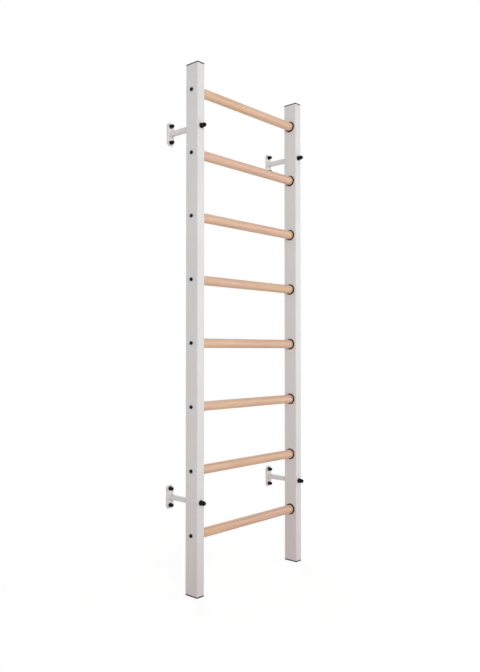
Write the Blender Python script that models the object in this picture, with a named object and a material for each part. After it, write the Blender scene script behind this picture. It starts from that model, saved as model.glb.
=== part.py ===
"""Wall bars: two steel uprights, eight round beech rungs and four wall brackets.

Metres, +Z up. The origin lies on the wall at floor level, midway between the uprights.
X runs along the rungs, +Y points into the wall, and the climber stands on the -Y side.
Rungs count from the floor up; left and right are as the climber sees them.
"""

from math import atan2
from math import cos
from math import pi
from math import sin

import bmesh
import bpy
from mathutils import Matrix
from mathutils import Vector

# Fit between pieces
SEAT_GAP = 0.0003
HOLE_CLEARANCE = 0.0004

# Whole frame
OVERALL_WIDTH = 0.700
WALL_GAP = 0.120
LOWEST_RUNG_HEIGHT = 0.248
RUNG_PITCH = 0.263
RUNG_COUNT = 8
TOP_MARGIN = 0.111

# Uprights: rectangular steel tube, narrow side to the front
UPRIGHT_WIDTH = 0.040
UPRIGHT_DEPTH = 0.070
UPRIGHT_WALL = 0.002
UPRIGHT_CORNER = 0.003
CORNER_STEPS = 2

# Rungs: round beech bars that pass through the inner wall of each upright
RUNG_DIAMETER = 0.040
RUNG_CHAMFER = 0.0015
RUNG_SIDES = 20

# Grommets: flanged bushes that line the holes where the rungs enter
GROMMET_SLEEVE_WALL = 0.0015
GROMMET_RIM = 0.0032
GROMMET_FLANGE = 0.004
GROMMET_TAIL = 0.003

# Rung screws: domed heads outside, shanks through the outer wall into the rungs
RUNG_SCREW_DIAMETER = 0.008
RUNG_SCREW_LENGTH = 0.050
RUNG_SCREW_HEAD_DIAMETER = 0.0155
RUNG_SCREW_HEAD_HEIGHT = 0.0075
SCREW_SIDES = 12

# End caps: plastic plugs in both ends of each upright
END_CAP_PLATE = 0.005
END_CAP_EDGE = 0.0008
END_CAP_PLUG = 0.020
END_CAP_WALL = 0.0025

# Wall brackets: a plate on the wall and a square tube arm with a nut in its front end
TOP_BRACKET_DROP = 0.154
BOTTOM_BRACKET_RISE = 0.136
PLATE_WIDTH = 0.040
PLATE_THICKNESS = 0.005
PLATE_CHAMFER = 0.010
PLATE_HOLE_SPACING = 0.070
PLATE_HOLE_DIAMETER = 0.007
PLATE_END_MARGIN = 0.015
ARM_SECTION = 0.020
ARM_WALL = 0.002
ARM_NUT_THICKNESS = 0.008
ARM_WELD = 0.003

# Bracket bolts: hexagon heads on the front faces, shanks through to the nuts in the arms
BOLT_DIAMETER = 0.008
BOLT_TAIL = 0.003
BOLT_HEAD_FLATS = 0.013
BOLT_HEAD_HEIGHT = 0.0053

# Nut caps: black plastic covers, loose over the bolts and fixed on the wall plates
WALL_SCREW_FLATS = 0.010
WALL_SCREW_HEAD_HEIGHT = 0.004
NUT_CAP_WALL = 0.0012
NUT_CAP_RIM = 0.0006
NUT_CAP_FLANGE = 0.0025
BOLT_CAP_BODY = 0.017
BOLT_CAP_DOME = 0.0105
WALL_CAP_BODY = 0.0135
WALL_CAP_DOME = 0.007
DOME_STEPS = 3

# Derived sizes and places
TOP_RUNG_HEIGHT = LOWEST_RUNG_HEIGHT + (RUNG_COUNT - 1) * RUNG_PITCH
OVERALL_HEIGHT = TOP_RUNG_HEIGHT + TOP_MARGIN
RUNG_HEIGHTS = [LOWEST_RUNG_HEIGHT + i * RUNG_PITCH for i in range(RUNG_COUNT)]
BRACKET_HEIGHTS = {
    "top": TOP_RUNG_HEIGHT - TOP_BRACKET_DROP,
    "bottom": LOWEST_RUNG_HEIGHT + BOTTOM_BRACKET_RISE,
}
SIDES = {"left": -1, "right": 1}
UPRIGHT_X = (OVERALL_WIDTH - UPRIGHT_WIDTH) / 2
UPRIGHT_Y = -WALL_GAP - UPRIGHT_DEPTH / 2
FRONT_FACE_Y = -WALL_GAP - UPRIGHT_DEPTH
INNER_FACE_X = OVERALL_WIDTH / 2 - UPRIGHT_WIDTH
RUNG_RADIUS = RUNG_DIAMETER / 2
RUNG_LENGTH = OVERALL_WIDTH - 2 * (UPRIGHT_WALL + SEAT_GAP)
BORE_RADIUS = RUNG_RADIUS + SEAT_GAP
SLEEVE_RADIUS = BORE_RADIUS + GROMMET_SLEEVE_WALL
FLANGE_RADIUS = SLEEVE_RADIUS + GROMMET_RIM
ARM_LENGTH = WALL_GAP - SEAT_GAP
HEXAGON = cos(pi / 6)


def clear_scene():
    """Remove every object of the open file."""
    for old in list(bpy.data.objects):
        bpy.data.objects.remove(old, do_unlink=True)


def make_material(name, colour, roughness, metallic):
    """Return a Principled material of one colour."""
    material = bpy.data.materials.new(name)
    material.use_nodes = True
    shader = material.node_tree.nodes["Principled BSDF"]
    shader.inputs["Base Color"].default_value = (*colour, 1.0)
    shader.inputs["Roughness"].default_value = roughness
    shader.inputs["Metallic"].default_value = metallic
    return material


def mesh_from(bm, name, material=None):
    """Turn a bmesh into a mesh whose faces point outwards, smooth where it is round."""
    bmesh.ops.remove_doubles(bm, verts=bm.verts, dist=0.00001)
    bmesh.ops.recalc_face_normals(bm, faces=bm.faces)
    mesh = bpy.data.meshes.new(name)
    bm.to_mesh(mesh)
    bm.free()
    mesh.shade_smooth()
    mesh.set_sharp_from_angle(angle=pi / 6)
    if material:
        mesh.materials.append(material)
    return mesh


def place(name, mesh, location, rotation=(0.0, 0.0, 0.0)):
    """Put a mesh into the scene as one named piece."""
    piece = bpy.data.objects.new(name, mesh)
    piece.location = location
    piece.rotation_euler = rotation
    bpy.context.scene.collection.objects.link(piece)
    return piece


def combine(piece, operation, bm, name):
    """Join a shape to a piece or cut it out; the shape itself stays a hidden guide."""
    guide = place(name, mesh_from(bm, name), (0.0, 0.0, 0.0))
    guide.hide_render = True
    guide.display_type = "WIRE"
    modifier = piece.modifiers.new(name, "BOOLEAN")
    modifier.operation = operation
    modifier.solver = "EXACT"
    modifier.object = guide


def finished_mesh(piece, material):
    """Return the mesh that a piece has after its modifiers, and drop the piece."""
    bpy.context.view_layer.update()
    depsgraph = bpy.context.evaluated_depsgraph_get()
    mesh = bpy.data.meshes.new_from_object(piece.evaluated_get(depsgraph))
    mesh.materials.clear()
    mesh.materials.append(material)
    bpy.data.objects.remove(piece, do_unlink=True)
    return mesh


def outline(width, depth, corner, steps):
    """Rectangle about the origin: corners of one step are chamfers, of more are round."""
    points = []
    for quarter, (side_x, side_y) in enumerate([(1, 1), (-1, 1), (-1, -1), (1, -1)]):
        centre = Vector((side_x * (width / 2 - corner), side_y * (depth / 2 - corner)))
        for step in range(steps + 1):
            angle = (quarter + step / steps) * pi / 2
            points.append(centre + corner * Vector((cos(angle), sin(angle))))
    return points


def loft(sections, closed=False):
    """Skin (outline, height) sections in order.

    An open row ends in a flat face at each end; a closed row makes a tube wall.
    """
    bm = bmesh.new()
    loops = []
    for points, height in sections:
        loops.append([bm.verts.new((point.x, point.y, height)) for point in points])
    pairs = list(zip(loops, loops[1:]))
    if closed:
        pairs.append((loops[-1], loops[0]))
    else:
        bm.faces.new(loops[0])
        bm.faces.new(loops[-1])
    for first, second in pairs:
        for i in range(len(first)):
            j = (i + 1) % len(first)
            bm.faces.new((first[i], first[j], second[j], second[i]))
    return bm


def turned(profile, sides, closed=False):
    """Spin (radius, height) points about Z.

    An open profile starts and ends on the axis; a closed one makes a ring.
    """
    bm = bmesh.new()
    verts = [bm.verts.new((radius, 0.0, height)) for radius, height in profile]
    edges = [bm.edges.new(pair) for pair in zip(verts, verts[1:])]
    if closed:
        edges.append(bm.edges.new((verts[-1], verts[0])))
    bmesh.ops.spin(
        bm, geom=verts + edges, cent=(0.0, 0.0, 0.0), axis=(0.0, 0.0, 1.0),
        angle=2 * pi, steps=sides, use_merge=True)
    return bm


def press_six_flats(bm, corner_radius):
    """Make a twelve-sided ring of this radius six-sided, with its corners kept."""
    for vert in bm.verts:
        column = round(atan2(vert.co.y, vert.co.x) / (pi / 6))
        on_ring = abs(vert.co.xy.length - corner_radius) < SEAT_GAP / 10
        if on_ring and column % 2:
            vert.co.x *= HEXAGON
            vert.co.y *= HEXAGON


def add_rod(bm, start, end, radius, sides):
    """Add a closed rod between two points."""
    span = Vector(end) - Vector(start)
    middle = Matrix.Translation((Vector(start) + Vector(end)) / 2)
    turn = span.to_track_quat("Z", "Y").to_matrix().to_4x4()
    bmesh.ops.create_cone(
        bm, cap_ends=True, segments=sides, radius1=radius, radius2=radius,
        depth=span.length, matrix=middle @ turn)


def head_room(flats):
    """Radius of the hollow that clears a hexagon head measured across its flats."""
    return flats / 2 / HEXAGON + SEAT_GAP


def nut_cap_outside(flats, body, dome):
    """Outer profile of a nut cap from its rim to its crown, and its body's radius."""
    body_radius = (head_room(flats) + NUT_CAP_WALL) / HEXAGON
    rim_radius = body_radius + NUT_CAP_RIM
    profile = [
        (rim_radius, 0.0),
        (rim_radius, NUT_CAP_FLANGE),
        (body_radius, NUT_CAP_FLANGE),
        (body_radius, body),
    ]
    for step in range(1, DOME_STEPS):
        angle = step / DOME_STEPS * pi / 2
        profile.append((body_radius * HEXAGON * cos(angle), body + dome * sin(angle)))
    profile.append((0.0, body + dome))
    return profile, body_radius


def upright_mesh(material):
    """Left upright, along Z about its own axis, with its inner side towards +X."""
    bottom = END_CAP_PLATE + SEAT_GAP
    top = OVERALL_HEIGHT - bottom
    outside = outline(UPRIGHT_WIDTH, UPRIGHT_DEPTH, UPRIGHT_CORNER, CORNER_STEPS)
    inside = outline(
        UPRIGHT_WIDTH - 2 * UPRIGHT_WALL, UPRIGHT_DEPTH - 2 * UPRIGHT_WALL,
        UPRIGHT_CORNER - UPRIGHT_WALL, CORNER_STEPS)
    wall = loft([(outside, bottom), (outside, top), (inside, top), (inside, bottom)], True)
    tube = place("tube", mesh_from(wall, "tube"), (0.0, 0.0, 0.0))

    holes = bmesh.new()
    for height in RUNG_HEIGHTS:
        axis = Vector((0.0, 0.0, height))
        inwards = axis + Vector((UPRIGHT_WIDTH, 0.0, 0.0))
        outwards = axis - Vector((UPRIGHT_WIDTH, 0.0, 0.0))
        add_rod(holes, axis, inwards, SLEEVE_RADIUS + SEAT_GAP, RUNG_SIDES)
        add_rod(holes, axis, outwards, RUNG_SCREW_DIAMETER / 2 + HOLE_CLEARANCE, SCREW_SIDES)
    for height in BRACKET_HEIGHTS.values():
        front = (0.0, -UPRIGHT_DEPTH, height)
        back = (0.0, UPRIGHT_DEPTH, height)
        add_rod(holes, front, back, BOLT_DIAMETER / 2 + HOLE_CLEARANCE, SCREW_SIDES)
    combine(tube, "DIFFERENCE", holes, "upright_holes")
    return finished_mesh(tube, material)


def end_cap_mesh(material):
    """Cap for the top end: its plate above Z = 0, its hollow plug below."""
    plate = outline(UPRIGHT_WIDTH, UPRIGHT_DEPTH, UPRIGHT_CORNER, CORNER_STEPS)
    crown = outline(
        UPRIGHT_WIDTH - 2 * END_CAP_EDGE, UPRIGHT_DEPTH - 2 * END_CAP_EDGE,
        UPRIGHT_CORNER - END_CAP_EDGE, CORNER_STEPS)
    inset = UPRIGHT_WALL + SEAT_GAP
    plug = outline(
        UPRIGHT_WIDTH - 2 * inset, UPRIGHT_DEPTH - 2 * inset,
        UPRIGHT_CORNER - inset, CORNER_STEPS)
    inset += END_CAP_WALL
    hollow = outline(
        UPRIGHT_WIDTH - 2 * inset, UPRIGHT_DEPTH - 2 * inset,
        UPRIGHT_CORNER - UPRIGHT_WALL - SEAT_GAP, CORNER_STEPS)
    shell = loft([
        (crown, END_CAP_PLATE),
        (plate, END_CAP_PLATE - END_CAP_EDGE),
        (plate, 0.0),
        (plug, 0.0),
        (plug, -END_CAP_PLUG),
        (hollow, -END_CAP_PLUG),
        (hollow, 0.0),
    ])
    return mesh_from(shell, "end_cap", material)


def rung_mesh(material):
    """Rung along Z, chamfered and drilled for a screw at both ends."""
    drill_radius = RUNG_SCREW_DIAMETER / 2 + SEAT_GAP
    half = RUNG_LENGTH / 2
    drill_end = half - RUNG_SCREW_LENGTH
    upper = [
        (0.0, drill_end),
        (drill_radius, drill_end),
        (drill_radius, half),
        (RUNG_RADIUS - RUNG_CHAMFER, half),
        (RUNG_RADIUS, half - RUNG_CHAMFER),
    ]
    lower = [(radius, -height) for radius, height in reversed(upper)]
    return mesh_from(turned(upper + lower, RUNG_SIDES), "rung", material)


def grommet_mesh(material):
    """Grommet along Z: its flange above Z = 0, its sleeve through the wall below."""
    sleeve_end = -(SEAT_GAP + UPRIGHT_WALL + GROMMET_TAIL)
    profile = [
        (BORE_RADIUS, GROMMET_FLANGE),
        (FLANGE_RADIUS, GROMMET_FLANGE),
        (FLANGE_RADIUS, 0.0),
        (SLEEVE_RADIUS, 0.0),
        (SLEEVE_RADIUS, sleeve_end),
        (BORE_RADIUS, sleeve_end),
    ]
    return mesh_from(turned(profile, RUNG_SIDES, closed=True), "grommet", material)


def rung_screw_mesh(material):
    """Dome-headed screw along Z, its head above Z = 0."""
    head = RUNG_SCREW_HEAD_DIAMETER / 2
    shank = RUNG_SCREW_DIAMETER / 2
    profile = [(head, 0.0), (shank, 0.0)]
    profile += [(shank, shank - RUNG_SCREW_LENGTH), (0.0, -RUNG_SCREW_LENGTH)]
    for step in range(1, DOME_STEPS + 1):
        angle = step / DOME_STEPS * pi / 2
        profile.insert(0, (head * cos(angle), RUNG_SCREW_HEAD_HEIGHT * sin(angle)))
    return mesh_from(turned(profile, SCREW_SIDES), "rung_screw", material)


def bracket_mesh(material):
    """Wall bracket along Z: its back on Z = 0, its arm reaching up, its height along Y."""
    plate_height = PLATE_HOLE_SPACING + 2 * PLATE_END_MARGIN
    face = outline(PLATE_WIDTH, plate_height, PLATE_CHAMFER, 1)
    plate = loft([(face, 0.0), (face, PLATE_THICKNESS)])
    bracket = place("bracket", mesh_from(plate, "plate"), (0.0, 0.0, 0.0))

    # The arm starts inside the plate and flares at its foot, as the weld does
    section = outline(ARM_SECTION, ARM_SECTION, ARM_WALL, 1)
    foot = outline(ARM_SECTION + 2 * ARM_WELD, ARM_SECTION + 2 * ARM_WELD, ARM_WELD, 1)
    arm = loft([
        (foot, PLATE_THICKNESS / 2),
        (foot, PLATE_THICKNESS),
        (section, PLATE_THICKNESS + ARM_WELD),
        (section, ARM_LENGTH),
    ])
    combine(bracket, "UNION", arm, "bracket_arm")

    bore_side = ARM_SECTION - 2 * ARM_WALL
    bore = outline(bore_side, bore_side, ARM_WALL / 2, 1)
    nut_back = ARM_LENGTH - ARM_NUT_THICKNESS
    hollow = loft([(bore, PLATE_THICKNESS + SEAT_GAP), (bore, nut_back)])
    combine(bracket, "DIFFERENCE", hollow, "arm_hollow")
    holes = bmesh.new()
    add_rod(holes, (0.0, 0.0, nut_back - ARM_WALL), (0.0, 0.0, WALL_GAP),
            BOLT_DIAMETER / 2 + SEAT_GAP, SCREW_SIDES)
    head_top = PLATE_THICKNESS + SEAT_GAP + WALL_SCREW_HEAD_HEIGHT
    for hole_y in (-PLATE_HOLE_SPACING / 2, PLATE_HOLE_SPACING / 2):
        rim_profile, body_radius = nut_cap_outside(
            WALL_SCREW_FLATS, WALL_CAP_BODY, WALL_CAP_DOME)
        root = (rim_profile[0][0], -PLATE_THICKNESS / 2)
        cap = turned([(0.0, root[1]), root] + rim_profile[1:], SCREW_SIDES)
        press_six_flats(cap, body_radius)
        bmesh.ops.translate(cap, verts=cap.verts, vec=(0.0, hole_y, PLATE_THICKNESS))
        combine(bracket, "UNION", cap, "wall_cap")
        add_rod(holes, (0.0, hole_y, -PLATE_THICKNESS), (0.0, hole_y, head_top),
                PLATE_HOLE_DIAMETER / 2, SCREW_SIDES)
    combine(bracket, "DIFFERENCE", holes, "bracket_holes")
    return finished_mesh(bracket, material)


def bracket_bolt_mesh(material):
    """Hexagon bolt along Z, its head above Z = 0."""
    corner = BOLT_HEAD_FLATS / 2 / HEXAGON
    shank = BOLT_DIAMETER / 2
    length = UPRIGHT_DEPTH + SEAT_GAP + ARM_NUT_THICKNESS + BOLT_TAIL
    bolt = turned([
        (0.0, BOLT_HEAD_HEIGHT),
        (corner, BOLT_HEAD_HEIGHT),
        (corner, 0.0),
        (shank, 0.0),
        (shank, -length),
        (0.0, -length),
    ], SCREW_SIDES)
    press_six_flats(bolt, corner)
    return mesh_from(bolt, "bracket_bolt", material)


def bolt_cap_mesh(material):
    """Nut cap along Z, its open side on Z = 0."""
    room = head_room(BOLT_HEAD_FLATS)
    room_depth = BOLT_CAP_BODY
    outside, body_radius = nut_cap_outside(BOLT_HEAD_FLATS, BOLT_CAP_BODY, BOLT_CAP_DOME)
    cap = turned([(0.0, room_depth), (room, room_depth), (room, 0.0)] + outside, SCREW_SIDES)
    press_six_flats(cap, body_radius)
    return mesh_from(cap, "bolt_cap", material)


def build_uprights(steel, plastic):
    """Place both uprights and the end caps that plug them."""
    upright = upright_mesh(steel)
    end_cap = end_cap_mesh(plastic)
    cap_seats = {"top": OVERALL_HEIGHT - END_CAP_PLATE, "bottom": END_CAP_PLATE}
    for side, sign in SIDES.items():
        turn = pi if sign > 0 else 0.0
        axis_x = sign * UPRIGHT_X
        place(f"upright_{side}", upright, (axis_x, UPRIGHT_Y, 0.0), (0.0, 0.0, turn))
        for end, height in cap_seats.items():
            flip = pi if end == "bottom" else 0.0
            place(f"end_cap_{end}_{side}", end_cap, (axis_x, UPRIGHT_Y, height),
                  (flip, 0.0, 0.0))


def build_rungs(beech, rubber, fastener):
    """Place each rung with its two grommets and its two screws."""
    rung = rung_mesh(beech)
    grommet = grommet_mesh(rubber)
    screw = rung_screw_mesh(fastener)
    for number, height in enumerate(RUNG_HEIGHTS, start=1):
        place(f"rung_{number}", rung, (0.0, UPRIGHT_Y, height), (0.0, pi / 2, 0.0))
        for side, sign in SIDES.items():
            seat_x = sign * (INNER_FACE_X - SEAT_GAP)
            place(f"grommet_{side}_{number}", grommet, (seat_x, UPRIGHT_Y, height),
                  (0.0, -sign * pi / 2, 0.0))
            head_x = sign * (OVERALL_WIDTH / 2 + SEAT_GAP)
            place(f"rung_screw_{side}_{number}", screw, (head_x, UPRIGHT_Y, height),
                  (0.0, sign * pi / 2, 0.0))


def build_brackets(steel, fastener, plastic):
    """Place each wall bracket with the bolt that holds the upright and its cap."""
    bracket = bracket_mesh(steel)
    bolt = bracket_bolt_mesh(fastener)
    bolt_cap = bolt_cap_mesh(plastic)
    towards_front = (pi / 2, 0.0, 0.0)
    for level, height in BRACKET_HEIGHTS.items():
        for side, sign in SIDES.items():
            axis_x = sign * UPRIGHT_X
            head_seat = (axis_x, FRONT_FACE_Y - SEAT_GAP, height)
            place(f"wall_bracket_{level}_{side}", bracket, (axis_x, 0.0, height),
                  towards_front)
            place(f"bracket_bolt_{level}_{side}", bolt, head_seat, towards_front)
            place(f"bolt_cap_{level}_{side}", bolt_cap, head_seat, towards_front)


def main():
    """Build the whole set of wall bars."""
    clear_scene()
    steel = make_material("white_powder_coat", (0.80, 0.79, 0.78), 0.45, 0.0)
    beech = make_material("beech", (0.75, 0.50, 0.31), 0.50, 0.0)
    rubber = make_material("black_rubber", (0.02, 0.02, 0.02), 0.70, 0.0)
    plastic = make_material("black_plastic", (0.025, 0.025, 0.025), 0.45, 0.0)
    blackened = make_material("black_steel", (0.04, 0.04, 0.04), 0.40, 0.8)
    zinc = make_material("zinc_steel", (0.60, 0.60, 0.58), 0.35, 1.0)
    build_uprights(steel, plastic)
    build_rungs(beech, rubber, blackened)
    build_brackets(steel, zinc, plastic)


main()
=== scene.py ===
"""Looks of a set of wall bars: finished pieces, finishes, studio and camera.

Every piece stands in for the solid of the same place and takes its main sizes from it.
Metres, +Z up, the wall at Y = 0, the climber on the -Y side.
"""

import logging
import math
from dataclasses import dataclass
from enum import Enum
from functools import cache
from typing import Any, Iterable, Sequence

import bmesh
import bpy
from bmesh.types import BMEdge, BMFace, BMVert
from bpy.types import Material, Node, NodeSocket, NodeTree, Object
from mathutils import Matrix, Vector


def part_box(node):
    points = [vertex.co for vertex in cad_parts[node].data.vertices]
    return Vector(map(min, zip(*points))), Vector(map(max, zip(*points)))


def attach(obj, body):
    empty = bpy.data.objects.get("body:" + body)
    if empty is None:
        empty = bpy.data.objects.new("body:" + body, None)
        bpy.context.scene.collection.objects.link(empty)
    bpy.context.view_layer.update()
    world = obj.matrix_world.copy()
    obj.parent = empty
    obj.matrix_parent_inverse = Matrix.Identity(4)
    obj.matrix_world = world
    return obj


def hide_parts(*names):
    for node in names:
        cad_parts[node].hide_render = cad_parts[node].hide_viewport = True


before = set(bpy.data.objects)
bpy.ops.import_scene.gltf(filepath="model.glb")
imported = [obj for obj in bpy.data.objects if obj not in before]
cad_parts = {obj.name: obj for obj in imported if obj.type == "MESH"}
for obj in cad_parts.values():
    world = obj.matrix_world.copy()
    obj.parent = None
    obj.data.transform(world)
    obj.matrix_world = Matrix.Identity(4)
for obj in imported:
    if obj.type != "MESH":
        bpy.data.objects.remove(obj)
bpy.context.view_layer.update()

LOG = logging.getLogger("wall_bars")
BODY = "root"
MM = 0.001
TOUCH = 0.001 * MM
SEAT_GAP = 0.3 * MM
CREASE = math.radians(32)
QUARTER_TURN = math.pi / 2
FULL_TURN = 2 * math.pi
HEXAGON = 6
HEXAGON_FLAT = math.cos(math.pi / HEXAGON)
ORIGIN = (0.0, 0.0, 0.0)
UPWARDS = (0.0, 0.0, 1.0)
WHITE = (1.0, 1.0, 1.0)
BLACK = (0.0, 0.0, 0.0)
NOISE_SPREAD = (0.3, 0.7)

Point2 = tuple[float, float]
Point3 = tuple[float, float, float]
Colour = tuple[float, float, float]
Sources = dict[str, Any]


class NamedSign(Enum):
    """Two opposites, each with its sign."""

    @property
    def word(self) -> str:
        """The word for it in the names of nodes and pieces."""
        return self.name.lower()


class Side(NamedSign):
    """The two sides as a climber who faces the wall sees them, with the sign of their X."""

    LEFT = -1
    RIGHT = 1


class Level(NamedSign):
    """The two heights at which the brackets hold the frame."""

    TOP = 1
    BOTTOM = -1


class Fastening(NamedSign):
    """The two fastenings of a wall plate, with the sign of their height on it."""

    LOWER = -1
    UPPER = 1


class Slot(Enum):
    """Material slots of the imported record."""

    POWDER_COAT = "white_powder_coat"
    BEECH = "beech"
    RUBBER = "black_rubber"
    PLASTIC = "black_plastic"
    BLACK_STEEL = "black_steel"
    ZINC_STEEL = "zinc_steel"


class Joining(Enum):
    """What a Boolean does with the second shape."""

    ADD = "UNION"
    CUT = "DIFFERENCE"


def node_size(node: str) -> Vector:
    """Return the size of a solid's box along X, Y and Z."""
    low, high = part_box(node)
    return high - low


def node_middle(node: str) -> Vector:
    """Return the middle of a solid's box."""
    low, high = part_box(node)
    return (low + high) / 2


def at(x: float, y: float, z: float) -> Matrix:
    """Return the shift to a place."""
    return Matrix.Translation((x, y, z))


def quarters(turns: int, axis: str) -> Matrix:
    """Return a turn by so many quarters about an axis."""
    return Matrix.Rotation(turns * QUARTER_TURN, 4, axis)


def lying_at(height: float, items: Iterable[Any]) -> list[Any]:
    """Return those of a mesh's edges or faces that lie at one height."""
    return [item for item in items if all(abs(vert.co.z - height) < TOUCH for vert in item.verts)]


def new_object(name: str, data: Any) -> Object:
    """Make an object of a mesh, a lamp or a camera.

    Args:
        name: its name.
        data: what it shows.

    Returns:
        The object, in the scene.
    """
    thing = bpy.data.objects.new(name, data)
    bpy.context.scene.collection.objects.link(thing)
    return thing


class Shape:
    """A bmesh being modelled, with the operations that a workshop would name."""

    def __init__(self) -> None:
        """Start with an empty mesh."""
        self.bm = bmesh.new()

    @classmethod
    def bar(cls, width: float, depth: float, ends: Point2, corner: float, steps: int) -> "Shape":
        """Make a bar along Z with its long edges rounded, or chamfered in a single step.

        Args:
            width: size along X.
            depth: size along Y.
            ends: heights of the lower and the upper end.
            corner: how far the rounding reaches along each side.
            steps: faces across the rounding.

        Returns:
            The new shape, centred on the Z axis.
        """
        shape = cls()
        size = Matrix.Diagonal((width, depth, ends[1] - ends[0], 1.0))
        bmesh.ops.create_cube(shape.bm, size=1.0, matrix=at(0.0, 0.0, sum(ends) / 2) @ size)
        shape.round_sides(corner, steps)
        return shape

    @classmethod
    def rod(cls, radius: float, low: float, high: float, sides: int) -> "Shape":
        """Make a round or many-sided rod along Z.

        Args:
            radius: radius to the corners.
            low: height of the lower end.
            high: height of the upper end.
            sides: number of sides.

        Returns:
            The new shape.
        """
        shape = cls()
        bmesh.ops.create_cone(shape.bm, cap_ends=True, segments=sides, radius1=radius,
                              radius2=radius, depth=high - low,
                              matrix=at(0.0, 0.0, (low + high) / 2))
        return shape

    @classmethod
    def turned(cls, profile: Sequence[Point2], steps: int, ring: bool = False) -> "Shape":
        """Turn a profile about Z, as on a lathe.

        Args:
            profile: (radius, height) points.
            steps: number of steps round the axis.
            ring: True for a closed profile off the axis, False for one that ends on it.

        Returns:
            The new closed shape.
        """
        shape = cls()
        verts = [shape.bm.verts.new((radius, 0.0, height)) for radius, height in profile]
        edges = [shape.bm.edges.new(pair) for pair in zip(verts, verts[1:])]
        if ring:
            edges.append(shape.bm.edges.new((verts[-1], verts[0])))
        bmesh.ops.spin(shape.bm, geom=verts + edges, cent=ORIGIN, axis=UPWARDS,
                       angle=FULL_TURN, steps=steps, use_merge=True)
        shape.tidy()
        return shape

    def tidy(self) -> None:
        """Merge doubled points and turn every face outwards."""
        bmesh.ops.remove_doubles(self.bm, verts=self.bm.verts, dist=TOUCH)
        bmesh.ops.recalc_face_normals(self.bm, faces=self.bm.faces)

    def bevel(self, edges: Sequence[BMEdge], width: float, steps: int) -> None:
        """Round edges in so many steps, or chamfer them in a single one."""
        bmesh.ops.bevel(
            self.bm, geom=edges, offset=width, offset_type="OFFSET", affect="EDGES",
            segments=steps, profile=0.5, material=-1, clamp_overlap=True)

    def round_sides(self, width: float, steps: int) -> None:
        """Bevel the edges that run along Z."""
        self.bevel([edge for edge in self.bm.edges
                    if (edge.verts[0].co - edge.verts[1].co).xy.length < TOUCH], width, steps)

    def round_end(self, height: float, width: float, steps: int) -> None:
        """Bevel the edges that lie at one height."""
        self.bevel(lying_at(height, self.bm.edges), width, steps)

    def inset(self, faces: list[BMFace], width: float) -> None:
        """Shrink faces inside their outline, with a flat rim round them."""
        bmesh.ops.inset_region(
            self.bm, faces=faces, thickness=width, use_even_offset=True, use_boundary=True)

    def draw(self, faces: list[BMFace], rise: float) -> list[BMFace]:
        """Draw faces out along Z.

        Args:
            faces: the faces to extrude.
            rise: how far along Z.

        Returns:
            The faces at their new height.
        """
        edges = dict.fromkeys(edge for face in faces for edge in face.edges)
        drawn = bmesh.ops.extrude_face_region(self.bm, geom=[*faces, *edges])["geom"]
        verts = [item for item in drawn if isinstance(item, BMVert)]
        bmesh.ops.translate(self.bm, verts=verts, vec=(0.0, 0.0, rise))
        return [item for item in drawn if isinstance(item, BMFace)]

    def hollow(self, wall: float) -> None:
        """Open both ends of a closed bar and keep a wall round its hollow.

        Args:
            wall: thickness of the wall.
        """
        heights = [vert.co.z for vert in self.bm.verts]
        for height in (min(heights), max(heights)):
            bmesh.ops.delete(self.bm, geom=lying_at(height, self.bm.faces), context="FACES_ONLY")
        bmesh.ops.solidify(self.bm, geom=list(self.bm.faces), thickness=wall)
        self.tidy()

    def moved(self, place: Matrix) -> "Shape":
        """Move or turn the whole shape and return it."""
        bmesh.ops.transform(self.bm, matrix=place, verts=self.bm.verts)
        return self

    def as_object(self, name: str) -> Object:
        """Put a copy of the mesh into the scene.

        Args:
            name: name of the object and its mesh.

        Returns:
            The new object.
        """
        mesh = bpy.data.meshes.new(name)
        self.bm.to_mesh(mesh)
        return new_object(name, mesh)

    def add(self, other: "Shape") -> None:
        """Take in another shape as a shell of its own.

        Args:
            other: the other shape, which stays as it is.
        """
        spare = bpy.data.meshes.new("spare")
        other.bm.to_mesh(spare)
        self.bm.from_mesh(spare)
        bpy.data.meshes.remove(spare)

    def combine(self, other: "Shape", joining: Joining) -> None:
        """Join another shape to this one, or cut this one by it.

        Args:
            other: the second shape, which stays as it is.
            joining: what is done with it.
        """
        base = self.as_object("base")
        tool = other.as_object("tool")
        modifier = base.modifiers.new("joining", "BOOLEAN")
        modifier.operation = joining.value
        modifier.solver = "EXACT"
        modifier.object = tool
        bpy.context.view_layer.update()
        depsgraph = bpy.context.evaluated_depsgraph_get()
        result = bpy.data.meshes.new_from_object(base.evaluated_get(depsgraph))
        self.bm.clear()
        self.bm.from_mesh(result)
        bmesh.ops.dissolve_degenerate(self.bm, dist=TOUCH, edges=self.bm.edges)
        for spent in (result, base.data, tool.data):
            bpy.data.meshes.remove(spent)

    def piece(self, name: str, finish: Material, place: Matrix) -> Object:
        """Make the finished piece, with its object at the origin and its place in its mesh.

        Args:
            name: the piece's name.
            finish: its material.
            place: where it goes.

        Returns:
            The new object.
        """
        thing = self.as_object(name)
        thing.data.transform(place)
        thing.data.materials.append(finish)
        thing.data.shade_smooth()
        thing.data.set_sharp_from_angle(angle=CREASE)
        shading = thing.modifiers.new("even_shading", "WEIGHTED_NORMAL")
        shading.mode = "FACE_AREA"
        shading.weight = 100
        shading.keep_sharp = True
        return thing


def quarter_round(centre: Point2, reach: Point2, start: float, steps: int) -> list[Point2]:
    """Return a quarter of a circle or an oval for a turned profile.

    Args:
        centre: its centre, as (radius, height).
        reach: how far it reaches from there, outwards and along Z.
        start: angle of the first point, from the outward direction towards +Z.
        steps: number of steps along the arc.

    Returns:
        The arc's points, in the order of a growing angle.
    """
    angles = [start + step / steps * QUARTER_TURN for step in range(steps + 1)]
    return [(centre[0] + reach[0] * math.cos(angle), centre[1] + reach[1] * math.sin(angle))
            for angle in angles]


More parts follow.
